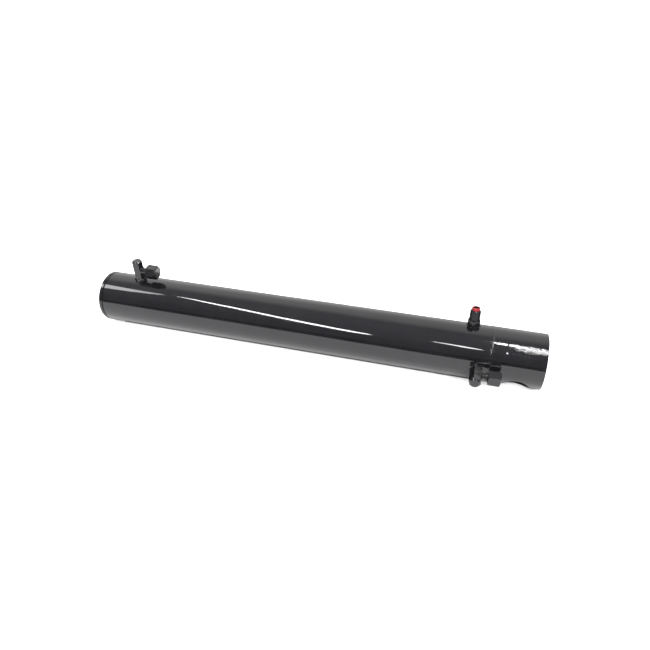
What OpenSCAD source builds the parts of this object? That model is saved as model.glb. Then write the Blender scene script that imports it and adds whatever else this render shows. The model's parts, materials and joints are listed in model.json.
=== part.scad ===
// Telescopic hydraulic cylinder, retracted. Two tubular stages and a solid plunger slide out of a
// painted barrel whose base end carries an open mounting sleeve, two capped elbow ports and a vent.
// The barrel's axis is the X axis and +Z is up. The origin is the centre of the base sleeve's mouth,
// and the stages leave the head towards -X. Angles round the barrel are 0 at -Y and 90 at +Z.

/* [Barrel] */
// Outside diameter of the barrel tube, the head ring and the base sleeve
barrel_od = 65; // [65:0.5:68]
// Wall thickness of the barrel tube and of the base sleeve
barrel_wall = 5; // [4.8:0.1:5]
// Length from the head's face to the mouth of the base sleeve
body_length = 560; // [545:5:700]
// Length of the head ring that closes the barrel tube
head_ring = 6; // [4.5:0.5:8]

/* [Base sleeve] */
// Distance from the mouth to the welded seam
seam_from_mouth = 59.6; // [58:0.2:62]
// Depth of the socket, from the mouth to the base plug
socket_depth = 47; // [45:0.5:48]
// Thickness of the base plug
plug_thickness = 21; // [18:0.5:22]
// Diameter of the side window
window_d = 32; // [20:1:34]
// Distance from the mouth to the window's centre
window_from_mouth = 27; // [24:0.5:28]
// Angle of the window round the barrel
window_angle = -50; // [-80:1:-40]
// Distance from the mouth to the lock screw and the lock wire's slot
lock_from_mouth = 43; // [42.5:0.1:43.5]
// Angle of the lock screw round the barrel
screw_angle = 40; // [30:1:42]
// Angle of the lock wire's slot round the barrel
slot_angle = 56.3; // [54:0.1:65]

/* [Stages] */
// Outside diameter of the first stage
stage_1_od = 48; // [47:0.5:48]
// Outside diameter of the second stage
stage_2_od = 34; // [33.5:0.5:34]
// Wall thickness of both tubular stages
stage_wall = 4; // [3.8:0.1:4]
// Diameter of the plunger
plunger_d = 20; // [19:0.5:20]
// Travel of each stage and of the plunger
stroke = 385; // [300:5:385]

/* [Ports] */
// Distance from the mouth to the head port
port_a_from_mouth = 509.5; // [495:0.5:511]
// Angle of the head port round the barrel
port_a_angle = 87; // [80:0.5:95]
// Distance from the mouth to the base port
port_b_from_mouth = 73.5; // [73:0.1:74]
// Angle of the base port round the barrel
port_b_angle = -0.5; // [-5:0.5:5]
// Distance from the barrel's axis to the elbow's closed end
elbow_top = 61; // [58:0.5:62]
// Distance from the barrel's axis to the elbow's side branch
branch_height = 46.4; // [46:0.1:48]
// Width across flats of the elbow's hexagonal stem
elbow_hex = 12; // [11:0.5:12]
// Width across flats of the cap nut
cap_nut_hex = 16; // [15.5:0.5:17]
// Length of the cap nut
cap_nut_length = 14; // [13:0.5:15]

/* [Vent] */
// Distance from the mouth to the vent fitting
vent_from_mouth = 83; // [82.5:0.1:83.5]
// Angle of the vent fitting round the barrel
vent_angle = 98; // [85:1:105]
// Outside diameter of the tube that pushes into the vent fitting
vent_tube_d = 6; // [5.5:0.1:6]
// Width across flats of the vent fitting's hexagon
vent_hex = 14; // [13:0.5:15]
// Diameter of the vent fitting's round body
vent_body_d = 12.2; // [12.2:0.1:13]
// Travel of the red release collar
release_travel = 1.2; // [0.8:0.1:1.2]

/* [Hidden] */
$fn = 96;

// Gap between a running ring and the surface that it slides on
running = 0.05;
// Gap between pieces that are fitted together
fitted = 0.05;
// Gap between stages that rest against each other
rest_gap = 0.5;
// Cut that runs clear of a face
clear = 1;

// The telescoping members are the barrel, stage 1, stage 2 and the plunger, in that order
outer_r = [barrel_od / 2, stage_1_od / 2, stage_2_od / 2, plunger_d / 2];
inner_r = [outer_r[0] - barrel_wall, outer_r[1] - stage_wall, outer_r[2] - stage_wall];
// How far each member's front face stands out of the head
stand_out = [0, 3.5, 7, 12];
front_face = [for (s = stand_out) -body_length - s];
// Front flange of each gland, and the gland's whole length
flange = [head_ring, 3, 3];
gland_length = [head_ring + 28.5, 30, 30];
tube_front = [for (k = [0:2]) front_face[k] + flange[k]];
gland_rear = [for (k = [0:2]) front_face[k] + gland_length[k]];

// Base plug, from the socket's floor to its pressure face, and the boss that the stages rest on
plug_floor = -socket_depth;
plug_face = plug_floor - plug_thickness;
plug_seat_r = inner_r[0] - 0.5;
boss_length = 21.5;
boss_r = 12;
boss_tip = plug_face - boss_length;

// Pistons: the rear lip closes each tube and the next member rests on it
lip = 6;
piston_length = 26;
rear_face = [
    0,
    boss_tip - rest_gap,
    boss_tip - 2 * rest_gap - lip,
    boss_tip - 3 * rest_gap - 2 * lip
];
oil_hole_r = [0, 8, 6];
ring_gap = 0.3;

// Plunger's piston, held by a nut on the plunger's threaded spigot
spigot_r = 6;
spigot_stand_out = 2;
nut_thickness = 8;
nut_hex = 19;
plunger_piston_length = 16;
plunger_shoulder = rear_face[3] - spigot_stand_out - nut_thickness - plunger_piston_length;
plunger_seal_width = 3.6;
plunger_guide_width = 5;
plunger_seal_at = plunger_shoulder + 2;
plunger_guide_at = plunger_seal_at + plunger_seal_width + 2;

// Front end of each piston, and of the stop tube ahead of it that sets the stroke
piston_front = [0, rear_face[1] - piston_length, rear_face[2] - piston_length, plunger_shoulder];
stop_front = [0, for (k = [1:3]) gland_rear[k - 1] + stroke + rest_gap];

// Grooves of the seals
wiper_depth = [4, 3, 3];
seal_width = 4.5;
guide_width = 8;
groove_depth = [2, 1.8, 1.8];
o_ring_width = 2.4;
o_ring_depth = 1.6;
piston_groove_depth = [0, 1.9, 1.6, 2];
spanner_hole_r = [2, 1.25, 1.25];
spanner_hole_at = [28.6, 21.8, 14.8];

// Edges of the joint between the head ring and the tube, and the groove of the seam weld
edge_chamfer = 0.5;
joint_slot_width = 1.1;
joint_slot_depth = 1.5;
weld_depth = 2.4;
weld_half_width = 1;

// Lock screw
screw_r = 2;

// Seats of the fittings on the barrel: a flat spot face, and a thread through the wall
spot_r = 8.2;
seat = 31.6;
port_thread_r = 5;
stub_end = inner_r[0] + 0.8;
washer_thickness = 1.1;
lock_nut_thickness = 4.2;
lock_nut_hex = 13;
stem_base = seat + washer_thickness + lock_nut_thickness;
neck_r = 4;
collar_r = 5.2;
nut_start = 13.5;
nose_r = 6.3;
passage_r = 2.2;
// Where each cap nut came to rest round its own axis, and where the elbow's flats lie
port_a_nut_turn = -24;
port_b_nut_turn = 26;
port_a_elbow_turn = -18;
port_b_elbow_turn = 14;

// Heights of the vent fitting, from the barrel's axis
vent_thread_r = 4;
vent_hex_base = seat + 1;
vent_hex_top = vent_hex_base + 7.4;
vent_spigot_top = vent_hex_top + 3.6;
vent_body_top = vent_hex_top + 11.8;
vent_collar_top = vent_body_top + 3.3;
vent_pocket_top = vent_body_top - 3.2;
vent_bore_r = vent_tube_d / 2 + 0.05;
vent_passage_r = vent_bore_r + 0.25;

// Tapped hole in the plunger's end, at its minor diameter
tap_r = 5.1;
tap_depth = 20;

paint = [0.05, 0.05, 0.06];
steel = [0.55, 0.56, 0.58];
chrome = [0.8, 0.81, 0.83];
rubber = [0.08, 0.08, 0.08];
urethane = [0.16, 0.3, 0.5];
nylon = [0.45, 0.3, 0.18];
red = [0.8, 0.05, 0.06];

function across(flats) = flats / (2 * cos(30));

// A solid of revolution about the X axis, from points [x, radius]
module turned(points) {
    rotate([0, 90, 0])
        rotate_extrude()
            polygon([for (p = points) [p[1], p[0]]]);
}

// A plain ring about the X axis, with small chamfers outside
module ring(x, length, r_out, r_in, chamfer = 0.2) {
    turned([
        [x, r_in],
        [x, r_out - chamfer],
        [x + chamfer, r_out],
        [x + length - chamfer, r_out],
        [x + length, r_out - chamfer],
        [x + length, r_in]
    ]);
}

// A round cut along the X axis
module round_cut(x, length, r) {
    translate([x, 0, 0])
        rotate([0, 90, 0])
            cylinder(h = length, r = r);
}

// An O-ring about the X axis
module o_ring(x, r_mid, r_section) {
    rotate([0, 90, 0])
        rotate_extrude()
            translate([r_mid, x])
                circle(r = r_section, $fn = 32);
}

// Puts a fitting that points along +Z at a place on the barrel
module on_barrel(from_mouth, angle) {
    translate([-from_mouth, 0, 0])
        rotate([90 - angle, 0, 0])
            children();
}

// A hexagonal bar along Z. A turned chamfer takes each end in from its flats by the given inset,
// and an end whose inset is undef stays square
module hex_bar(z, height, flats, bottom_inset = 0.15, top_inset = 0.15, chamfer_angle = 30) {
    crest = across(flats);
    outside = crest + clear;
    bottom_r = is_undef(bottom_inset) ? outside : flats / 2 - bottom_inset;
    top_r = is_undef(top_inset) ? outside : flats / 2 - top_inset;
    slope = tan(chamfer_angle);
    intersection() {
        translate([0, 0, z])
            rotate([0, 0, 30])
                cylinder(h = height, r = crest, $fn = 6);
        rotate_extrude()
            polygon([
                [0, z],
                [bottom_r, z],
                [outside, z + (outside - bottom_r) * slope],
                [outside, z + height - (outside - top_r) * slope],
                [top_r, z + height],
                [0, z + height]
            ]);
    }
}

// Barrel

// The cut that seats a fitting: the flat spot face and the threaded hole
module seat_cut(from_mouth, angle, hole_r) {
    on_barrel(from_mouth, angle) {
        translate([0, 0, seat])
            cylinder(h = 4, r = spot_r);
        translate([0, 0, inner_r[0] - 3])
            cylinder(h = 8, r = hole_r);
    }
}

module barrel_tube() {
    color(paint)
        difference() {
            turned([
                [tube_front[0], inner_r[0] + edge_chamfer],
                [tube_front[0], outer_r[0] - edge_chamfer],
                [tube_front[0] + edge_chamfer, outer_r[0]],
                [-seam_from_mouth - weld_half_width, outer_r[0]],
                [-seam_from_mouth, outer_r[0] - weld_depth],
                [-seam_from_mouth, inner_r[0]],
                [tube_front[0] + edge_chamfer, inner_r[0]]
            ]);
            seat_cut(port_a_from_mouth, port_a_angle, port_thread_r);
            seat_cut(port_b_from_mouth, port_b_angle, port_thread_r);
            seat_cut(vent_from_mouth, vent_angle, vent_thread_r + fitted);
        }
}

module base_sleeve() {
    mouth_chamfer = 0.4;
    color(paint)
        difference() {
            turned([
                [-seam_from_mouth, plug_seat_r],
                [-seam_from_mouth, outer_r[0] - weld_depth],
                [-seam_from_mouth + weld_half_width, outer_r[0]],
                [-mouth_chamfer, outer_r[0]],
                [0, outer_r[0] - mouth_chamfer],
                [0, inner_r[0]],
                [plug_floor, inner_r[0]],
                [plug_floor, plug_seat_r]
            ]);
            on_barrel(window_from_mouth, window_angle)
                translate([0, 0, inner_r[0] / 2])
                    cylinder(h = outer_r[0], r = window_d / 2);
            on_barrel(lock_from_mouth, screw_angle)
                translate([0, 0, inner_r[0] - 3])
                    cylinder(h = 10, r = screw_r + fitted);
            on_barrel(lock_from_mouth, slot_angle)
                translate([-0.8, -2.4, inner_r[0] - 1])
                    cube([1.6, 4.8, barrel_wall + 3]);
        }
}

module seam_weld() {
    bead_height = 0.35;
    color(paint)
        turned([
            [-seam_from_mouth, outer_r[0] - weld_depth],
            [-seam_from_mouth - weld_half_width, outer_r[0]],
            [-seam_from_mouth - 0.6, outer_r[0] + bead_height * 0.8],
            [-seam_from_mouth, outer_r[0] + bead_height],
            [-seam_from_mouth + 0.6, outer_r[0] + bead_height * 0.8],
            [-seam_from_mouth + weld_half_width, outer_r[0]]
        ]);
}

module base_plug() {
    plug_r = inner_r[0] - fitted;
    spigot_end_r = plug_seat_r - fitted;
    recess_r = 16;
    recess_depth = 5;
    groove_x = plug_face + 2;
    slot_width = 8;
    color(steel)
        difference() {
            turned([
                [boss_tip, 0],
                [boss_tip, boss_r - 1],
                [boss_tip + 1, boss_r],
                [plug_face, boss_r],
                [plug_face, plug_r - 0.8],
                [plug_face + 0.8, plug_r],
                [groove_x, plug_r],
                [groove_x, plug_r - o_ring_depth],
                [groove_x + o_ring_width, plug_r - o_ring_depth],
                [groove_x + o_ring_width, plug_r],
                [-seam_from_mouth, plug_r],
                [-seam_from_mouth, spigot_end_r],
                [plug_floor - 0.8, spigot_end_r],
                [plug_floor, spigot_end_r - 0.8],
                [plug_floor, recess_r],
                [plug_floor - recess_depth, recess_r - 2],
                [plug_floor - recess_depth, 0]
            ]);
            for (turn = [0, 90])
                rotate([turn, 0, 0])
                    translate([boss_tip - clear, -slot_width / 2, -boss_r - clear])
                        cube([8 + clear, slot_width, 2 * (boss_r + clear)]);
        }
}

module base_plug_o_ring() {
    color(rubber)
        o_ring(plug_face + 2 + o_ring_width / 2, inner_r[0] - fitted - o_ring_depth / 2, o_ring_depth / 2 - 0.05);
}

module lock_screw() {
    screw_length = 4.6;
    color(steel)
        on_barrel(lock_from_mouth, screw_angle)
            difference() {
                translate([0, 0, inner_r[0] + 0.1])
                    cylinder(h = screw_length, r = screw_r);
                translate([0, 0, inner_r[0] + 2.8])
                    cylinder(h = screw_length, r = across(2), $fn = 6);
            }
}

// Glands. Each closes the front of member k and seals and guides member k + 1

function bore_r(k) = outer_r[k + 1] + ring_gap;
function seal_at(k) = front_face[k] + wiper_depth[k] + 3.5;
function guide_at(k) = seal_at(k) + seal_width + 2.5;
function o_ring_at(k) = guide_at(k) + guide_width + 2.5;

module gland(k) {
    r_bore = bore_r(k);
    r_groove = r_bore + groove_depth[k];
    r_spigot = inner_r[k] - fitted;
    x_seal = seal_at(k);
    x_guide = guide_at(k);
    x_o_ring = o_ring_at(k);
    front_chamfer = k == 0 ? 1.2 : 0.5;
    back_chamfer = k == 0 ? edge_chamfer : 0.2;
    // The head ring stops short of the tube, which leaves a slot round the joint
    back = k == 0 ? tube_front[k] - joint_slot_width : tube_front[k];
    difference() {
        turned([
            [front_face[k], r_groove],
            [front_face[k], outer_r[k] - front_chamfer],
            [front_face[k] + front_chamfer, outer_r[k]],
            [back - back_chamfer, outer_r[k]],
            [back, outer_r[k] - back_chamfer],
            if (k == 0) [back, outer_r[k] - joint_slot_depth],
            if (k == 0) [tube_front[k], outer_r[k] - joint_slot_depth],
            [tube_front[k], r_spigot],
            [x_o_ring, r_spigot],
            [x_o_ring, r_spigot - o_ring_depth],
            [x_o_ring + o_ring_width, r_spigot - o_ring_depth],
            [x_o_ring + o_ring_width, r_spigot],
            [gland_rear[k] - 1, r_spigot],
            [gland_rear[k], r_spigot - 1],
            [gland_rear[k], r_bore],
            [x_guide + guide_width, r_bore],
            [x_guide + guide_width, r_groove],
            [x_guide, r_groove],
            [x_guide, r_bore],
            [x_seal + seal_width, r_bore],
            [x_seal + seal_width, r_groove],
            [x_seal, r_groove],
            [x_seal, r_bore],
            [front_face[k] + wiper_depth[k], r_bore],
            [front_face[k] + wiper_depth[k], r_groove]
        ]);
        for (turn = [45:90:315])
            rotate([turn, 0, 0])
                translate([0, 0, spanner_hole_at[k]])
                    round_cut(front_face[k] - clear, clear + flange[k] * 0.6, spanner_hole_r[k]);
    }
}

// A scraper with a lip that leans out of the gland
module wiper(k) {
    r_in = outer_r[k + 1] + running;
    r_out = bore_r(k) + groove_depth[k] - fitted;
    x = front_face[k];
    color(urethane)
        turned([
            [x - 0.6, r_in],
            [x - 0.6, r_in + 0.3],
            [x + 0.6, r_in + 0.9],
            [x + 0.6, r_out - 0.2],
            [x + 0.8, r_out],
            [x + wiper_depth[k] - fitted, r_out],
            [x + wiper_depth[k] - fitted, r_in + 0.5],
            [x + 1, r_in + 0.5]
        ]);
}

// A U-cup seal whose open side faces the oil
module rod_seal(k) {
    r_in = outer_r[k + 1] + running;
    r_out = bore_r(k) + groove_depth[k] - fitted;
    r_mid = (r_in + r_out) / 2;
    x = seal_at(k) + fitted;
    width = seal_width - 2 * fitted;
    color(urethane)
        turned([
            [x, r_in],
            [x, r_out],
            [x + width, r_out],
            [x + width, r_mid + 0.45],
            [x + width * 0.45, r_mid],
            [x + width, r_mid - 0.45],
            [x + width, r_in]
        ]);
}

module guide_ring(k) {
    r_in = outer_r[k + 1] + running;
    r_out = bore_r(k) + groove_depth[k] - fitted;
    color(nylon)
        ring(guide_at(k) + fitted, guide_width - 2 * fitted, r_out, r_in, 0.1);
}

module gland_o_ring(k) {
    color(rubber)
        o_ring(o_ring_at(k) + o_ring_width / 2, inner_r[k] - fitted - o_ring_depth / 2, o_ring_depth / 2 - 0.05);
}

module head_gland() {
    color(paint) gland(0);
}
module head_wiper() {
    wiper(0);
}
module head_rod_seal() {
    rod_seal(0);
}
module head_guide_ring() {
    guide_ring(0);
}
module head_o_ring() {
    gland_o_ring(0);
}

// Ports

module elbow(turn) {
    bend = 1.2;
    nose_start = nut_start + 1.5;
    nose_end = nut_start + cap_nut_length - 4.6;
    cone = 2.2;
    difference() {
        union() {
            translate([0, 0, stub_end])
                cylinder(h = stem_base - stub_end + clear, r = port_thread_r - fitted);
            rotate([0, 0, turn])
                hex_bar(stem_base, elbow_top - stem_base, elbow_hex, undef, 1.3, 45);
            translate([0, 0, branch_height])
                turned([
                    [0, 0],
                    [0, neck_r + bend],
                    [elbow_hex / 2, neck_r + bend],
                    [elbow_hex / 2 + bend, neck_r],
                    [nut_start - 3, neck_r],
                    [nut_start - 2.4, collar_r],
                    [nut_start - 0.8, collar_r],
                    [nut_start - 0.2, neck_r + 0.3],
                    [nose_start, neck_r + 0.3],
                    [nose_start, nose_r - 0.8],
                    [nose_start + 0.8, nose_r],
                    [nose_end - cone, nose_r],
                    [nose_end, nose_r - cone],
                    [nose_end, 0]
                ]);
        }
        translate([0, 0, stub_end - clear])
            cylinder(h = branch_height - stub_end + clear, r = passage_r);
        translate([0, 0, branch_height])
            round_cut(0, nose_end + clear, passage_r);
    }
}

module port_washer() {
    translate([0, 0, seat])
        difference() {
            cylinder(h = washer_thickness, r = 7.5);
            translate([0, 0, -clear])
                cylinder(h = washer_thickness + 2 * clear, r = port_thread_r + fitted);
        }
}

module lock_nut() {
    difference() {
        hex_bar(seat + washer_thickness, lock_nut_thickness, lock_nut_hex);
        cylinder(h = stem_base + clear, r = port_thread_r);
    }
}

// A closed hexagonal nut along +X, turned about its own axis
module cap_nut(turn) {
    thread_r = nose_r + fitted;
    wall = 3.2;
    translate([nut_start, 0, branch_height])
        rotate([turn, 0, 0])
            rotate([0, 90, 0])
                difference() {
                    rotate([0, 0, -30])
                        hex_bar(0, cap_nut_length, cap_nut_hex, 0.15, 1.5);
                    translate([0, 0, -clear])
                        cylinder(h = cap_nut_length - wall + clear, r = thread_r);
                }
}

module port_a_washer() {
    color(steel) on_barrel(port_a_from_mouth, port_a_angle) port_washer();
}
module port_a_lock_nut() {
    color(paint) on_barrel(port_a_from_mouth, port_a_angle) lock_nut();
}
module port_a_elbow() {
    color(paint) on_barrel(port_a_from_mouth, port_a_angle) elbow(port_a_elbow_turn);
}
module port_a_cap_nut() {
    color(paint) on_barrel(port_a_from_mouth, port_a_angle) cap_nut(port_a_nut_turn);
}
module port_b_washer() {
    color(steel) on_barrel(port_b_from_mouth, port_b_angle) port_washer();
}
module port_b_lock_nut() {
    color(paint) on_barrel(port_b_from_mouth, port_b_angle) lock_nut();
}
module port_b_elbow() {
    color(paint) on_barrel(port_b_from_mouth, port_b_angle) elbow(port_b_elbow_turn);
}
module port_b_cap_nut() {
    color(paint) on_barrel(port_b_from_mouth, port_b_angle) cap_nut(port_b_nut_turn);
}

// Vent fitting: a tube pushed through the red collar is gripped by the toothed ring

module vent_washer() {
    color(rubber)
        on_barrel(vent_from_mouth, vent_angle)
            translate([0, 0, seat])
                difference() {
                    cylinder(h = vent_hex_base - seat, r = 6.6);
                    translate([0, 0, -clear])
                        cylinder(h = vent_hex_base - seat + 2 * clear, r = vent_thread_r + fitted);
                }
}

module vent_stud() {
    spigot_r = 4.6;
    tube_stop = vent_hex_base + 5;
    color(paint)
        on_barrel(vent_from_mouth, vent_angle)
            difference() {
                union() {
                    translate([0, 0, stub_end])
                        cylinder(h = vent_hex_base - stub_end + clear, r = vent_thread_r);
                    hex_bar(vent_hex_base, vent_hex_top - vent_hex_base, vent_hex);
                    translate([0, 0, vent_hex_top - clear])
                        cylinder(h = vent_spigot_top - vent_hex_top + clear, r = spigot_r);
                }
                translate([0, 0, stub_end - clear])
                    cylinder(h = tube_stop - stub_end + 2 * clear, r = 2);
                translate([0, 0, tube_stop])
                    cylinder(h = vent_spigot_top - tube_stop + clear, r = vent_bore_r);
            }
}

module vent_body() {
    body_r = vent_body_d / 2;
    base = vent_hex_top + 0.1;
    color(paint)
        on_barrel(vent_from_mouth, vent_angle)
            rotate_extrude()
                polygon([
                    [4.65, base],
                    [body_r - 0.4, base],
                    [body_r, base + 0.4],
                    [body_r, vent_body_top - 0.9],
                    [body_r - 0.9, vent_body_top],
                    [4.45, vent_body_top],
                    [4.45, vent_pocket_top],
                    [5, vent_pocket_top],
                    [5, vent_spigot_top],
                    [4.65, vent_spigot_top]
                ]);
}

module vent_tube_seal() {
    color(rubber)
        on_barrel(vent_from_mouth, vent_angle)
            rotate_extrude()
                polygon([
                    [vent_passage_r, vent_spigot_top + 0.1],
                    [4.9, vent_spigot_top + 0.1],
                    [4.9, vent_spigot_top + 1.5],
                    [vent_passage_r, vent_spigot_top + 1.5]
                ]);
}

module vent_grab_ring() {
    base = vent_spigot_top + 1.7;
    teeth = 8;
    color(steel)
        on_barrel(vent_from_mouth, vent_angle)
            difference() {
                translate([0, 0, base])
                    cylinder(h = 0.5, r = 4.9);
                translate([0, 0, base - clear])
                    cylinder(h = 0.5 + 2 * clear, r = vent_passage_r);
                for (turn = [0:360 / teeth:359])
                    rotate([0, 0, turn])
                        translate([0, -0.25, base - clear])
                            cube([4.1, 0.5, 0.5 + 2 * clear]);
            }
}

module vent_release_collar() {
    barb_top = vent_pocket_top - 0.2;
    color(red)
        on_barrel(vent_from_mouth, vent_angle)
            rotate_extrude()
                polygon([
                    [vent_passage_r, barb_top - 1],
                    [4.5, barb_top - 1],
                    [4.8, barb_top - 0.5],
                    [4.8, barb_top],
                    [4.35, barb_top],
                    [4.35, vent_body_top + release_travel + 0.2],
                    [4.7, vent_body_top + release_travel + 0.3],
                    [4.7, vent_collar_top - 0.5],
                    [4.2, vent_collar_top],
                    [vent_passage_r + 0.35, vent_collar_top],
                    [vent_passage_r, vent_collar_top - 0.35]
                ]);
}

// Stages

module stage_tube(k) {
    color(chrome)
        ring(tube_front[k], rear_face[k] - lip - tube_front[k], outer_r[k], inner_r[k], 0.2);
}

function piston_seal_at(k) = piston_front[k] + 3;
function piston_guide_at(k) = piston_front[k] + 3 + seal_width + 2.5;
function piston_r(k) = inner_r[k - 1] - ring_gap;

// A piston screwed over the rear of tube k, with a lip that closes the tube's end
module stage_piston(k) {
    r_groove = piston_r(k) - piston_groove_depth[k];
    x_seal = piston_seal_at(k);
    x_guide = piston_guide_at(k);
    color(steel)
        turned([
            [piston_front[k], outer_r[k] + fitted],
            [piston_front[k], piston_r(k) - 0.5],
            [piston_front[k] + 0.5, piston_r(k)],
            [x_seal, piston_r(k)],
            [x_seal, r_groove],
            [x_seal + seal_width, r_groove],
            [x_seal + seal_width, piston_r(k)],
            [x_guide, piston_r(k)],
            [x_guide, r_groove],
            [x_guide + guide_width, r_groove],
            [x_guide + guide_width, piston_r(k)],
            [rear_face[k] - 0.8, piston_r(k)],
            [rear_face[k], piston_r(k) - 0.8],
            [rear_face[k], oil_hole_r[k]],
            [rear_face[k] - lip, oil_hole_r[k]],
            [rear_face[k] - lip, outer_r[k] + fitted]
        ]);
}

module piston_seal(k) {
    r_out = inner_r[k - 1] - running;
    r_in = piston_r(k) - piston_groove_depth[k] + fitted;
    x = piston_seal_at(k) + fitted;
    width = seal_width - 2 * fitted;
    color(urethane)
        turned([
            [x, r_in],
            [x, r_out - 0.5],
            [x + 1, r_out],
            [x + width - 1, r_out],
            [x + width, r_out - 0.5],
            [x + width, r_in]
        ]);
}

module piston_guide(k) {
    r_out = inner_r[k - 1] - running;
    r_in = piston_r(k) - piston_groove_depth[k] + fitted;
    color(nylon)
        ring(piston_guide_at(k) + fitted, guide_width - 2 * fitted, r_out, r_in, 0.1);
}

// The spacer ahead of a piston that stops it short of the gland
module stop_tube(k) {
    color(steel)
        ring(stop_front[k], piston_front[k] - stop_front[k], inner_r[k - 1] - 1.4, outer_r[k] + 0.15, 0.4);
}

module stage_1_tube() {
    stage_tube(1);
}
module stage_1_piston() {
    stage_piston(1);
}
module stage_1_piston_seal() {
    piston_seal(1);
}
module stage_1_piston_guide() {
    piston_guide(1);
}
module stage_1_stop_tube() {
    stop_tube(1);
}
module stage_1_gland() {
    color(steel) gland(1);
}
module stage_1_wiper() {
    wiper(1);
}
module stage_1_rod_seal() {
    rod_seal(1);
}
module stage_1_guide_ring() {
    guide_ring(1);
}
module stage_1_o_ring() {
    gland_o_ring(1);
}

module stage_2_tube() {
    stage_tube(2);
}
module stage_2_piston() {
    stage_piston(2);
}
module stage_2_piston_seal() {
    piston_seal(2);
}
module stage_2_piston_guide() {
    piston_guide(2);
}
module stage_2_stop_tube() {
    stop_tube(2);
}
module stage_2_gland() {
    color(steel) gland(2);
}
module stage_2_wiper() {
    wiper(2);
}
module stage_2_rod_seal() {
    rod_seal(2);
}
module stage_2_guide_ring() {
    guide_ring(2);
}
module stage_2_o_ring() {
    gland_o_ring(2);
}

// Plunger

module plunger_rod() {
    tip = front_face[3];
    flats = 17;
    flats_length = 4;
    drill_point = tap_r / tan(59);
    color(chrome)
        difference() {
            turned([
                [tip, 0],
                [tip, outer_r[3] - 0.8],
                [tip + 0.8, outer_r[3]],
                [plunger_shoulder, outer_r[3]],
                [plunger_shoulder, spigot_r],
                [rear_face[3] - 0.6, spigot_r],
                [rear_face[3], spigot_r - 0.6],
                [rear_face[3], 0]
            ]);
            for (side = [-1, 1])
                translate([tip - clear, side > 0 ? flats / 2 : -flats / 2 - 5, -outer_r[3]])
                    cube([flats_length + clear, 5, 2 * outer_r[3]]);
            turned([
                [tip - clear, 0],
                [tip - clear, tap_r],
                [tip + tap_depth, tap_r],
                [tip + tap_depth + drill_point, 0]
            ]);
            turned([
                [tip - clear, 0],
                [tip - clear, tap_r + 0.9 + clear],
                [tip + 0.9, tap_r],
                [tip + 0.9, 0]
            ]);
        }
}

module plunger_piston() {
    k = 3;
    r_groove = piston_r(k) - piston_groove_depth[k];
    x_seal = plunger_seal_at;
    x_guide = plunger_guide_at;
    end = plunger_shoulder + plunger_piston_length;
    color(steel)
        turned([
            [plunger_shoulder, spigot_r + fitted],
            [plunger_shoulder, piston_r(k) - 0.4],
            [plunger_shoulder + 0.4, piston_r(k)],
            [x_seal, piston_r(k)],
            [x_seal, r_groove],
            [x_seal + plunger_seal_width, r_groove],
            [x_seal + plunger_seal_width, piston_r(k)],
            [x_guide, piston_r(k)],
            [x_guide, r_groove],
            [x_guide + plunger_guide_width, r_groove],
            [x_guide + plunger_guide_width, piston_r(k)],
            [end - 0.4, piston_r(k)],
            [end, piston_r(k) - 0.4],
            [end, spigot_r + fitted]
        ]);
}

module plunger_piston_seal() {
    color(urethane)
        ring(
            plunger_seal_at + fitted,
            plunger_seal_width - 2 * fitted,
            inner_r[2] - running,
            piston_r(3) - piston_groove_depth[3] + fitted,
            0.4
        );
}

module plunger_piston_guide() {
    color(nylon)
        ring(
            plunger_guide_at + fitted,
            plunger_guide_width - 2 * fitted,
            inner_r[2] - running,
            piston_r(3) - piston_groove_depth[3] + fitted,
            0.1
        );
}

module plunger_stop_tube() {
    stop_tube(3);
}

module plunger_nut() {
    nut_x = plunger_shoulder + plunger_piston_length;
    color(steel)
        translate([nut_x, 0, 0])
            rotate([0, 90, 0])
                difference() {
                    hex_bar(0, nut_thickness, nut_hex);
                    translate([0, 0, -clear])
                        cylinder(h = nut_thickness + 2 * clear, r = spigot_r + fitted);
                }
}

barrel_tube();
head_gland();
head_wiper();
head_rod_seal();
head_guide_ring();
head_o_ring();
base_plug();
base_plug_o_ring();
base_sleeve();
seam_weld();
lock_screw();
port_a_washer();
port_a_lock_nut();
port_a_elbow();
port_a_cap_nut();
port_b_washer();
port_b_lock_nut();
port_b_elbow();
port_b_cap_nut();
vent_washer();
vent_stud();
vent_body();
vent_tube_seal();
vent_grab_ring();
vent_release_collar();
stage_1_tube();
stage_1_piston();
stage_1_piston_seal();
stage_1_piston_guide();
stage_1_stop_tube();
stage_1_gland();
stage_1_wiper();
stage_1_rod_seal();
stage_1_guide_ring();
stage_1_o_ring();
stage_2_tube();
stage_2_piston();
stage_2_piston_seal();
stage_2_piston_guide();
stage_2_stop_tube();
stage_2_gland();
stage_2_wiper();
stage_2_rod_seal();
stage_2_guide_ring();
stage_2_o_ring();
plunger_rod();
plunger_piston();
plunger_piston_seal();
plunger_piston_guide();
plunger_stop_tube();
plunger_nut();
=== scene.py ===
"""Telescopic hydraulic cylinder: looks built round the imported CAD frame."""

import json
import math

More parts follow.
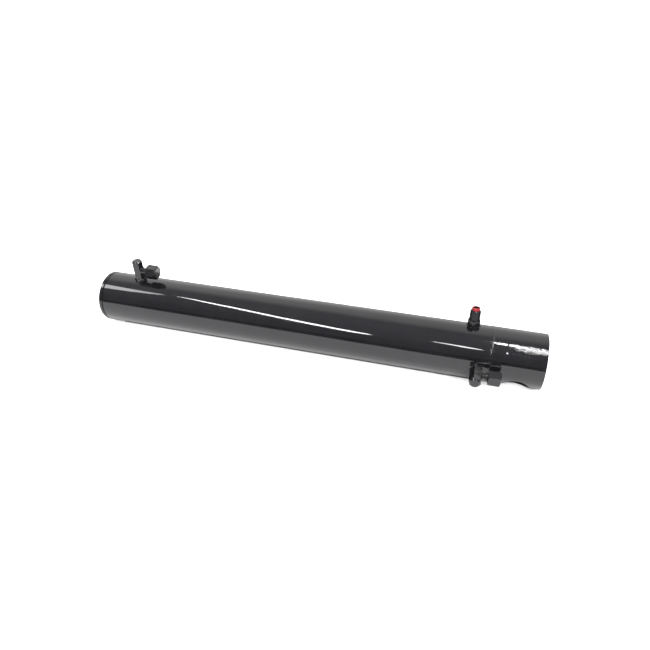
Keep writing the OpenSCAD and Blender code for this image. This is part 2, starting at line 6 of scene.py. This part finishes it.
import bmesh
import bpy
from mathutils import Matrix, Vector


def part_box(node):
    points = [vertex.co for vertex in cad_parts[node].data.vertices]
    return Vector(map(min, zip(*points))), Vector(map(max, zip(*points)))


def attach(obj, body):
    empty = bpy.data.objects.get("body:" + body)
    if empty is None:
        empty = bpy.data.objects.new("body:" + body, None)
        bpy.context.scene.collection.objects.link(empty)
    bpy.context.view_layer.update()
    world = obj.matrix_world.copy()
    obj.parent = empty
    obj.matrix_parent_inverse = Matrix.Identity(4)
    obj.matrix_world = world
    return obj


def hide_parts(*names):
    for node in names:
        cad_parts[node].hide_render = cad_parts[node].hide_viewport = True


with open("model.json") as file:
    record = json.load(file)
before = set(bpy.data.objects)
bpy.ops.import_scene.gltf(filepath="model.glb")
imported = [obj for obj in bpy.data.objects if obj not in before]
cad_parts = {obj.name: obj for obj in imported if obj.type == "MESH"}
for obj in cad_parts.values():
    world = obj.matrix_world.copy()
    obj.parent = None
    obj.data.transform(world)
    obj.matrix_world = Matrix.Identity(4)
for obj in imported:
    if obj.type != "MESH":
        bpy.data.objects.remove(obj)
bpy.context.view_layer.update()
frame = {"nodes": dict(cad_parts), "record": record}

MM = 0.001
NODES = frame["nodes"]
MOUNTS = {m["name"]: m for m in frame["record"]["mounts"]}
BODY_OF = {n: b for b, names in frame["record"]["behaviour"]["bodies"].items() for n in names}
SLOT_OF = {s["node"]: s["material_slot"] for s in frame["record"]["subparts"]}

BARREL_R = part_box("barrel_tube")[1].z
FLOOR_Z = -BARREL_R


# Shader helpers

class Shader:
    """A Principled material whose pattern nodes are added one call at a time."""

    def __init__(self, name):
        self.material = bpy.data.materials.new(name)
        self.material.use_nodes = True
        self.tree = self.material.node_tree
        self.surface = self.tree.nodes["Principled BSDF"]
        coordinates = self.tree.nodes.new("ShaderNodeTexCoord")
        self.place = coordinates.outputs["Object"]

    def set(self, **values):
        for socket, value in values.items():
            self.surface.inputs[socket.replace("_", " ")].default_value = value

    def matt(self, **values):
        self.set(Roughness=1.0, Specular_IOR_Level=0.0, **values)

    def feed(self, socket, output):
        self.tree.links.new(output, self.surface.inputs[socket])

    def node(self, kind, inputs=(), **settings):
        made = self.tree.nodes.new(kind)
        for key, value in settings.items():
            setattr(made, key, value)
        for socket, value in dict(inputs).items():
            if isinstance(value, bpy.types.NodeSocket):
                self.tree.links.new(value, made.inputs[socket])
            else:
                made.inputs[socket].default_value = value
        return made

    def times(self, a, b):
        return self.node("ShaderNodeMath", {0: a, 1: b}, operation="MULTIPLY").outputs[0]

    def plus(self, a, b):
        return self.node("ShaderNodeMath", {0: a, 1: b}, operation="ADD").outputs[0]

    def vectors(self, operation, inputs, output="Vector"):
        return self.node("ShaderNodeVectorMath", inputs, operation=operation).outputs[output]

    def spread(self, value, low, high, to_low=0.0, to_high=1.0):
        """The value, moved from low..high to to_low..to_high and held there."""
        inputs = {"Value": value, "From Min": low, "From Max": high, "To Min": to_low, "To Max": to_high}
        return self.node("ShaderNodeMapRange", inputs).outputs["Result"]

    def noise(self, scale, detail=4.0, roughness=0.55, stretch=(1, 1, 1)):
        """Noise over the object, in cells per metre. stretch squeezes it along an axis."""
        place = self.node("ShaderNodeMapping", {"Vector": self.place, "Scale": stretch}).outputs[0]
        inputs = {"Vector": place, "Scale": scale, "Detail": detail, "Roughness": roughness}
        return self.node("ShaderNodeTexNoise", inputs).outputs["Fac"]

    def cells(self, scale):
        """Distance to the nearest of a scatter of points, in cells per metre."""
        inputs = {"Vector": self.place, "Scale": scale}
        return self.node("ShaderNodeTexVoronoi", inputs).outputs["Distance"]

    def mix(self, share, a, b):
        """A colour between a and b, which are colours or outputs. share is an output."""
        made = self.tree.nodes.new("ShaderNodeMix")
        made.data_type = "RGBA"
        for socket, value in ((0, share), (6, a), (7, b)):
            if isinstance(value, bpy.types.NodeSocket):
                self.tree.links.new(value, made.inputs[socket])
            else:
                made.inputs[socket].default_value = (*value, 1)
        return made.outputs[2]

    def colour(self, cloud, dark, light, low=0.3, high=0.7):
        """Mottles the base colour from dark to light as cloud goes from low to high."""
        self.feed("Base Color", self.mix(self.spread(cloud, low, high), dark, light))

    def polish(self, cloud, smooth, rough, low=0.3, high=0.7):
        """Varies the roughness from smooth to rough as cloud goes from low to high."""
        self.feed("Roughness", self.spread(cloud, low, high, smooth, rough))

    def bump(self, height, distance, after=None):
        """Height in 0..1 that stands distance metres high. after chains another bump's normal."""
        inputs = {"Height": height, "Distance": distance, "Strength": 1.0}
        if after is not None:
            inputs["Normal"] = after
        normal = self.node("ShaderNodeBump", inputs).outputs["Normal"]
        self.feed("Normal", normal)
        return normal

    def rounded(self, radius):
        """The surface's normal with every edge rounded off, radius in metres."""
        return self.node("ShaderNodeBevel", {"Radius": radius}, samples=6).outputs["Normal"]

    def grain(self, scale, amount, normal):
        """Leans the normal every way at random by up to amount, which may be an output."""
        cloud = self.node("ShaderNodeTexNoise", {"Vector": self.place, "Scale": scale, "Detail": 1.0})
        lean = self.vectors("SUBTRACT", {0: cloud.outputs["Color"], 1: (0.5, 0.5, 0.5)})
        scaled = self.vectors("SCALE", {0: lean, "Scale": amount})
        leaned = self.vectors("ADD", {0: normal, 1: scaled})
        self.feed("Normal", self.vectors("NORMALIZE", {0: leaned}))

    def edges(self, radius):
        """1 along edges, 0 further than radius from one."""
        flat = self.tree.nodes.new("ShaderNodeNewGeometry").outputs["Normal"]
        along = self.vectors("DOT_PRODUCT", {0: self.rounded(radius), 1: flat}, "Value")
        return self.spread(along, 0.90, 0.985, 1.0, 0.0)


# Materials. Lengths are in metres, and colours are linear.

PAINT_IOR = 1.5
EDGE_R = 0.3 * MM


def enamel_base(name):
    """Gloss black enamel that ripples very slightly, with dust under the paint here and there."""
    s = Shader(name)
    s.colour(s.noise(35, 3), (0.0032, 0.0032, 0.0038), (0.0046, 0.0046, 0.0053), 0.35, 0.65)
    s.set(IOR=PAINT_IOR)
    flow = s.bump(s.noise(45, 2, stretch=(0.5, 1, 1)), 0.10 * MM)
    peel = s.bump(s.noise(170, 2), 0.01 * MM, after=flow)
    nib = s.spread(s.cells(380), 0.0, 0.10, 1.0, 0.0)
    rare = s.spread(s.noise(55, 1), 0.60, 0.66)
    return s, s.bump(s.times(nib, rare), 0.05 * MM, after=peel)


def tube_enamel():
    """The barrel's coat, with hairlines along the tube."""
    s, _ = enamel_base("barrel_enamel")
    hair = s.spread(s.noise(900, 2, stretch=(0.02, 1, 1)), 0.66, 0.72)
    satin = s.spread(s.noise(160, 3), 0.3, 0.7, 0.03, 0.06)
    s.feed("Roughness", s.plus(satin, s.times(hair, 0.08)))
    return s.material


def weld_enamel():
    s, _ = enamel_base("weld_enamel")
    s.polish(s.noise(420, 3), 0.05, 0.10)
    return s.material


def sleeve_enamel():
    """The same enamel over the machined sleeve, with coarse overspray along its upper front."""
    s, base = enamel_base("sleeve_enamel")
    s.polish(s.noise(420, 3), 0.03, 0.06)
    split = s.node("ShaderNodeSeparateXYZ", {"Vector": s.place})
    height = split.outputs["Z"]
    upper = s.times(s.spread(height, 12 * MM, 19 * MM), s.spread(height, 27.5 * MM, 29.5 * MM, 1.0, 0.3))
    mouthward = s.spread(split.outputs["X"], -46 * MM, -22 * MM, 0.22, 1.0)
    s.grain(850, s.times(s.times(upper, mouthward), 0.30), base)
    return s.material


def painted_screw(centre, outward):
    """The lock screw: painted over, with bare metal where the key has been."""
    s = Shader("painted_screw")
    offset = s.vectors("SUBTRACT", {0: s.place, 1: centre})
    across = s.vectors("CROSS_PRODUCT", {0: offset, 1: outward})
    away = s.vectors("LENGTH", {0: across}, "Value")
    ragged = s.plus(away, s.spread(s.noise(900, 2), 0.3, 0.7, -0.2 * MM, 0.2 * MM))
    bare = s.spread(ragged, 0.9 * MM, 1.1 * MM, 1.0, 0.0)
    s.feed("Base Color", s.mix(bare, (0.004, 0.004, 0.0045), (0.62, 0.62, 0.64)))
    s.feed("Metallic", bare)
    s.polish(s.noise(1500, 3), 0.10, 0.22)
    s.bump(s.noise(1500, 2), 0.01 * MM)
    return s.material


def fitting_paint(name, shine=0.5):
    """Gloss black over forged and milled steel, thin on the sharpest edges, where lighter bare-steel patches
    are partly wear and partly a painted edge highlight.
    """
    s = Shader(name)
    mottle = s.spread(s.noise(260, 4), 0.3, 0.7)
    paint = s.mix(mottle, (0.0035, 0.0035, 0.0040), (0.0065, 0.0065, 0.0070))
    chips = s.spread(s.noise(500, 3), 0.48, 0.66)
    # lighter bare steel in patches along the edges: partly wear, partly a painted edge highlight
    wear_and_painted_highlight = s.times(s.edges(EDGE_R), chips)
    s.feed("Base Color", s.mix(wear_and_painted_highlight, paint, (0.16, 0.16, 0.165)))
    s.feed("Metallic", s.times(wear_and_painted_highlight, 0.6))
    s.polish(s.noise(420, 4), 0.05, 0.10)
    s.set(IOR=PAINT_IOR, Specular_IOR_Level=shine)
    s.bump(s.noise(300, 2, 0.6), 0.01 * MM, after=s.rounded(EDGE_R))
    return s.material


def chrome():
    """Hard chrome, ground round and round, with a thin film of oil."""
    s = Shader("hard_chrome")
    s.colour(s.noise(40, 3), (0.50, 0.51, 0.52), (0.57, 0.575, 0.58), 0.35, 0.65)
    grind = s.noise(2600, 2, stretch=(1, 0.03, 0.03))
    s.polish(grind, 0.07, 0.16, low=0.35)
    s.set(Metallic=1.0, Coat_Weight=0.25, Coat_Roughness=0.06)
    s.bump(grind, 0.004 * MM)
    return s.material


def turned_steel():
    """Machined steel with concentric tool marks about the cylinder's axis."""
    s = Shader("turned_steel")
    s.colour(s.noise(120, 4), (0.30, 0.305, 0.31), (0.44, 0.445, 0.45))
    marks = s.noise(1800, 2, stretch=(1, 0.08, 0.08))
    s.polish(marks, 0.24, 0.42)
    s.set(Metallic=1.0)
    s.bump(marks, 0.01 * MM)
    return s.material


def moulded(name, dark, light, rough, shine=0.5):
    """Moulded plastic or rubber: a little mottling and a fine eroded skin."""
    s = Shader(name)
    s.set(Specular_IOR_Level=shine)
    s.colour(s.noise(300, 3), dark, light)
    s.polish(s.noise(600, 3), rough - 0.06, rough + 0.08)
    s.bump(s.noise(1200, 3), 0.012 * MM, after=s.rounded(EDGE_R))
    return s.material


MATERIALS = {
    "barrel_paint": tube_enamel(),
    "sleeve_paint": sleeve_enamel(),
    "fitting_black": fitting_paint("fitting_paint"),
    "chrome": chrome(),
    "steel": turned_steel(),
    "black_plastic": moulded("vent_plastic", (0.0045, 0.0045, 0.0050), (0.0080, 0.0080, 0.0085), 0.14, 0.18),
    "red_plastic": moulded("collar_plastic", (0.170, 0.0045, 0.0080), (0.205, 0.0070, 0.0110), 0.22, 0.35),
    "rubber": moulded("nitrile", (0.010, 0.010, 0.010), (0.020, 0.020, 0.020), 0.55),
    "urethane": moulded("polyurethane", (0.03, 0.10, 0.28), (0.05, 0.14, 0.36), 0.38),
    "guide_nylon": moulded("filled_nylon", (0.22, 0.12, 0.06), (0.32, 0.19, 0.10), 0.45),
}


def dress_nodes():
    """Gives every CAD node its slot's material, and a few nodes one of their own."""
    for name, node in NODES.items():
        node.data.materials.clear()
        node.data.materials.append(MATERIALS[SLOT_OF[name]])
    NODES["vent_stud"].data.materials[0] = fitting_paint("vent_paint", 0.28)
    for washer in ("port_a_washer", "port_b_washer"):
        NODES[washer].data.materials[0] = MATERIALS["fitting_black"]
    low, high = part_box("lock_screw")
    middle = (low + high) / 2
    outward = Vector((0, middle.y, middle.z)).normalized()
    NODES["lock_screw"].data.materials[0] = painted_screw(middle, outward)


# Pieces that replace or finish CAD nodes

def new_piece(name, vertices, faces, material, body):
    data = bpy.data.meshes.new(name)
    data.from_pydata(vertices, [], faces)
    data.validate()
    data.shade_smooth()
    data.materials.append(material)
    piece = bpy.data.objects.new(name, data)
    bpy.context.collection.objects.link(piece)
    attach(piece, body)
    return piece


def ring(profile, centre, axis, steps):
    """A closed profile of (along, radius) spun round an axis. radius may be a function of the angle."""
    side = axis.orthogonal().normalized()
    across = axis.cross(side)
    vertices = []
    for i in range(steps):
        angle = 2 * math.pi * i / steps
        outward = side * math.cos(angle) + across * math.sin(angle)
        for along, radius in profile:
            r = radius(angle) if callable(radius) else radius
            vertices.append(centre + axis * along + outward * r)
    count = len(profile)
    faces = [
        (i * count + j, i * count + (j + 1) % count,
         (i + 1) % steps * count + (j + 1) % count, (i + 1) % steps * count + j)
        for i in range(steps) for j in range(count)
    ]
    return vertices, faces


def weld_bead():
    """The seam's rounded bead, laid in ripples as the torch went round."""
    low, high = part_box("seam_weld")
    middle = (low.x + high.x) / 2
    half_width = 1.4 * MM
    root = high.z - 2.6 * MM
    sunk, crown_height, ripple_height = 0.02 * MM, 0.24 * MM, 0.015 * MM
    points, steps = 14, 1200
    ripples, waves = 150, 5
    bow, wander = 2.2, 1.3    # how far each ripple bends across the bead, and strays along it

    def crown(share):
        """The bead's surface, at this share of its half width from its middle."""
        fade = 1 - share * share

        def radius(angle):
            phase = ripples * angle + bow * share * share + wander * math.sin(waves * angle)
            return BARREL_R - sunk + crown_height * fade + ripple_height * math.sin(phase) * fade
        return radius

    shares = [2 * i / points - 1 for i in range(points + 1)]
    profile = [(half_width * share, crown(share)) for share in shares] + [(0, root)]
    vertices, faces = ring(profile, Vector((middle, 0, 0)), Vector((1, 0, 0)), steps)
    piece = new_piece("weld_bead", vertices, faces, weld_enamel(), BODY_OF["seam_weld"])
    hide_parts("seam_weld")


def collar_lining():
    """The black grip sleeve that shows inside the red collar."""
    socket = MOUNTS["vent_tube_socket"]
    outward = Vector(socket["axis"]).normalized()
    rim_r = 4.2 * MM
    lean = math.sqrt(1 - outward.z ** 2)
    height = (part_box("vent_release_collar")[1].z - rim_r * lean) / outward.z
    top = Vector((socket["pos_m"][0], 0, 0)) + outward * height
    outer, inner, depth, lip, rounding = 3.34 * MM, 3.20 * MM, 5.5 * MM, 0.35 * MM, 0.05 * MM
    profile = [
        (lip, outer), (lip * 0.6, inner + rounding), (lip + 2 * rounding, inner),
        (depth, inner), (depth, outer),
    ]
    vertices, faces = ring(profile, top, -outward, 96)
    new_piece("collar_lining", vertices, faces, MATERIALS["black_plastic"],
              BODY_OF["vent_release_collar"])


# Studio

LAMP_HEIGHT = 1.2
ALL_BUT_GLOSS = ("camera", "diffuse", "transmission", "volume_scatter", "shadow")
ALL_BUT_CAMERA = ("diffuse", "glossy", "transmission", "volume_scatter", "shadow")


def hide_from(obj, rays):
    for ray in rays:
        setattr(obj, "visible_" + ray, False)


def fill_ramp(ramp, stops):
    """Puts (position, colour) stops, which run from 0 to 1, on a new colour ramp."""
    for position, colour in stops:
        ends = {0: ramp.elements[0], 1: ramp.elements[-1]}
        element = ends[position] if position in ends else ramp.elements.new(position)
        element.color = (*colour, 1)


def studio_floor():
    """White paper that falls off to pale grey well behind the cylinder, the grey being painted falloff of
    the light.
    """
    s = Shader("studio_floor")
    y = s.node("ShaderNodeSeparateXYZ", {"Vector": s.place}).outputs["Y"]
    paper = s.mix(s.noise(2, 2), (0.79, 0.79, 0.79), (0.81, 0.81, 0.81))
    # painted falloff of light: the paper greys from 0.25 m to 1.6 m behind the axis
    s.feed("Base Color", s.mix(s.spread(y, 0.25, 1.6), paper, (0.45, 0.45, 0.45)))
    s.set(Roughness=0.95, Specular_IOR_Level=0.0, Emission_Color=(1, 1, 1, 1), Emission_Strength=0.25)
    bpy.ops.mesh.primitive_plane_add(size=60, location=(0, 0, FLOOR_Z))
    floor = bpy.context.object
    floor.name = "studio_floor"
    floor.data.materials.append(s.material)


def backdrop():
    """A pale wall all round, far off, that only the camera sees."""
    radius, height = 25, 24
    bpy.ops.mesh.primitive_cylinder_add(vertices=96, radius=radius, depth=height, end_fill_type="NOTHING",
                                        location=(0, 0, FLOOR_Z + height / 2))
    wall = bpy.context.object
    wall.name = "backdrop"
    s = Shader("backdrop")
    s.feed("Base Color", s.mix(s.noise(0.05, 2), (0.78, 0.78, 0.78), (0.82, 0.82, 0.82)))
    s.matt(Emission_Color=(1, 1, 1, 1), Emission_Strength=0.9)
    wall.data.materials.append(s.material)
    hide_from(wall, ALL_BUT_CAMERA)


def studio_world():
    """A tent round the cylinder's axis: dim in front and overhead, bright behind."""
    # degrees up from the front, over the top and down behind, with the tent's brightness there
    levels = (
        (0, 0.07), (5, 0.09), (9, 0.33), (24, 0.34), (44, 0.50), (74, 0.68), (101, 0.70),
        (110, 1.30), (124, 1.60), (133, 1.50), (146, 1.40), (155, 1.42), (165, 1.36), (180, 1.15),
    )
    cool_until, cool = 105, 1.08
    brightest = max(level for _, level in levels)
    stops = []
    for degrees, level in levels:
        grey = level / brightest
        blue = grey * cool if degrees < cool_until else grey
        stops.append((degrees / 180, (grey, grey, blue)))

    world = bpy.data.worlds.new("studio_tent")
    bpy.context.scene.world = world
    world.use_nodes = True
    tree = world.node_tree

    def node(kind, source, socket=0, operation=None):
        made = tree.nodes.new(kind)
        if operation:
            made.operation = operation
        tree.links.new(source, made.inputs[socket])
        return made

    split = node("ShaderNodeSeparateXYZ", tree.nodes.new("ShaderNodeTexCoord").outputs["Generated"])
    front = node("ShaderNodeMath", split.outputs["Y"], operation="MULTIPLY")
    front.inputs[1].default_value = -1
    angle = node("ShaderNodeMath", split.outputs["Z"], operation="ARCTAN2")
    tree.links.new(front.outputs[0], angle.inputs[1])
    share = node("ShaderNodeMapRange", angle.outputs[0], "Value")
    share.inputs["From Max"].default_value = math.pi
    ramp = node("ShaderNodeValToRGB", share.outputs[0])
    fill_ramp(ramp.color_ramp, stops)
    background = tree.nodes["Background"]
    background.inputs["Strength"].default_value = brightest
    tree.links.new(ramp.outputs["Color"], background.inputs["Color"])


def key_light():
    """The broad light from behind the camera. It whitens the floor, and reflections leave it out."""
    data = bpy.data.lights.new("key", "SUN")
    data.energy = 9.0
    data.angle = math.radians(50)
    light = bpy.data.objects.new("key", data)
    light.rotation_euler = (math.radians(42), 0, math.radians(10))
    light.visible_glossy = False
    bpy.context.collection.objects.link(light)


def lamp(name, edge_a, edge_b, strength, height=LAMP_HEIGHT):
    """A level glowing panel between two edges, each a row of (x, y). Only gloss sees it."""
    mesh = bmesh.new()
    rows = [[mesh.verts.new((x, y, height)) for x, y in edge] for edge in (edge_a, edge_b)]
    for i in range(len(edge_a) - 1):
        mesh.faces.new((rows[0][i], rows[0][i + 1], rows[1][i + 1], rows[1][i]))
    data = bpy.data.meshes.new(name)
    mesh.to_mesh(data)
    mesh.free()
    panel = bpy.data.objects.new(name, data)
    bpy.context.collection.objects.link(panel)
    material = bpy.data.materials.new(name)
    material.use_nodes = True
    tree = material.node_tree
    tree.nodes.remove(tree.nodes["Principled BSDF"])
    glow = tree.nodes.new("ShaderNodeEmission")
    glow.inputs["Strength"].default_value = strength
    tree.links.new(glow.outputs[0], tree.nodes["Material Output"].inputs["Surface"])
    data.materials.append(material)
    hide_from(panel, ALL_BUT_GLOSS)


def tube_lamp(name, points, strength):
    """A lamp along points (x, y, width)."""
    near = [(x, y - width / 2) for x, y, width in points]
    far = [(x, y + width / 2) for x, y, width in points]
    lamp(name, near, far, strength)


def lamps():
    """The lamps whose reflections draw the highlights along the tube and on the fittings."""
    tube_lamp("lamp_window", (
        (-1.70, -0.34, 0.62), (-1.46, -0.40, 0.48), (-1.34, -0.43, 0.34), (-1.23, -0.43, 0.16),
        (-1.17, -0.40, 0.05),
    ), 10)
    tube_lamp("lamp_long", (
        (-1.09, -0.36, 0.03), (-1.04, -0.46, 0.10), (-0.93, -0.70, 0.22), (-0.83, -1.01, 0.32),
        (-0.74, -1.28, 0.38), (-0.62, -1.56, 0.38), (-0.50, -1.66, 0.16),
    ), 40)
    tube_lamp("lamp_short", (
        (-0.18, -1.14, 0.06), (-0.12, -1.18, 0.14), (-0.06, -1.23, 0.22), (-0.02, -1.25, 0.14),
        (0.014, -1.26, 0.05),
    ), 26)
    # seen in the sleeve
    lamp("lamp_end",
         ((0.017, -0.27), (0.09, -0.34), (0.15, -0.57), (0.24, -0.73)),
         ((0.017, -0.13), (0.09, -0.14), (0.15, -0.19), (0.22, -0.26)), 40)
    # seen in the weld's mouthward flank
    lamp("lamp_weld",
         ((0.30, 0.42), (0.31, 0.17), (0.33, -0.05), (0.35, -0.27), (0.39, -0.51), (0.45, -0.80),
          (0.54, -1.15)),
         ((0.44, 0.44), (0.45, 0.20), (0.47, -0.02), (0.51, -0.25), (0.56, -0.49), (0.64, -0.78),
          (0.75, -1.14)), 8)
    # seen in the end of the head port's nut
    lamp("lamp_nut",
         ((-0.44, 0.126), (-0.36, 0.126)),
         ((-0.44, 0.165), (-0.36, 0.165)), 3.2, height=FLOOR_Z + 2 * MM)


def gloss_table():
    """The table as reflections see it: pale in front, with painted shadow right under and behind the
    cylinder, and a painted reflection of a dark room past its front edge."""
    bpy.ops.mesh.primitive_plane_add(size=20, location=(0, 0, FLOOR_Z + 0.5 * MM))
    card = bpy.context.object
    card.name = "gloss_table"
    # metres from the cylinder's axis toward the back, with the table's albedo there, low right under and
    # behind the cylinder as painted shadow and past the front edge as a painted dark room
    albedos_with_painted_shadow = (
        (-0.532, 0.020), (-0.528, 0.74), (-0.046, 0.75), (-0.036, 0.74), (-0.0265, 0.73), (-0.022, 0.66),
        (-0.015, 0.15), (-0.008, 0.07), (0.030, 0.05), (0.095, 0.16), (0.40, 0.26), (1.6, 0.38),
    )
    low, high = albedos_with_painted_shadow[0][0], albedos_with_painted_shadow[-1][0]
    s = Shader("gloss_table")
    y = s.node("ShaderNodeSeparateXYZ", {"Vector": s.place}).outputs["Y"]
    ramp = s.node("ShaderNodeValToRGB", {"Fac": s.spread(y, low, high)})
    stops = [((place - low) / (high - low), (albedo,) * 3) for place, albedo in albedos_with_painted_shadow]
    fill_ramp(ramp.color_ramp, stops)
    s.feed("Base Color", ramp.outputs["Color"])
    s.matt()
    card.data.materials.append(s.material)
    hide_from(card, ALL_BUT_GLOSS)


def contact_shade():
    """A painted contact shadow: the thin dark line where the barrel rests on the paper."""
    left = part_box("barrel_tube")[0].x + 12 * MM
    right = -52 * MM
    half_width = 12.4 * MM
    level = FLOOR_Z + 0.2 * MM
    corners = ((left, -half_width), (right, -half_width), (right, half_width), (left, half_width))
    data = bpy.data.meshes.new("contact_shade")
    data.from_pydata([(x, y, level) for x, y in corners], [], [(0, 1, 2, 3)])
    s = Shader("contact_shade")
    # painted shadow colour, mottled slightly
    s.feed("Base Color", s.mix(s.noise(40, 2), (0.035, 0.035, 0.037), (0.055, 0.055, 0.057)))
    s.matt()
    data.materials.append(s.material)
    strip = bpy.data.objects.new("contact_shade", data)
    bpy.context.collection.objects.link(strip)
    strip.visible_glossy = False


def camera():
    """Looks down at the cylinder's middle from in front and a little to the right."""
    data = bpy.data.cameras.new("camera")
    data.lens = 31.11
    data.sensor_width = 36
    data.clip_start = 0.01
    data.clip_end = 200
    eye = bpy.data.objects.new("camera", data)
    azimuth, elevation, distance = math.radians(15.755), math.radians(33.095), 0.6976
    target = Vector((-0.25905, 0, 0.0043))
    back = Vector((
        math.sin(azimuth) * math.cos(elevation),
        -math.cos(azimuth) * math.cos(elevation),
        math.sin(elevation),
    ))
    eye.location = target + back * distance
    eye.rotation_mode = "QUATERNION"
    eye.rotation_quaternion = (-back).to_track_quat("-Z", "Y")
    bpy.context.collection.objects.link(eye)
    bpy.context.scene.camera = eye


dress_nodes()
weld_bead()
collar_lining()
studio_floor()
backdrop()
studio_world()
key_light()
lamps()
gloss_table()
contact_shade()
camera()
bpy.context.scene.view_settings.view_transform = "Standard"
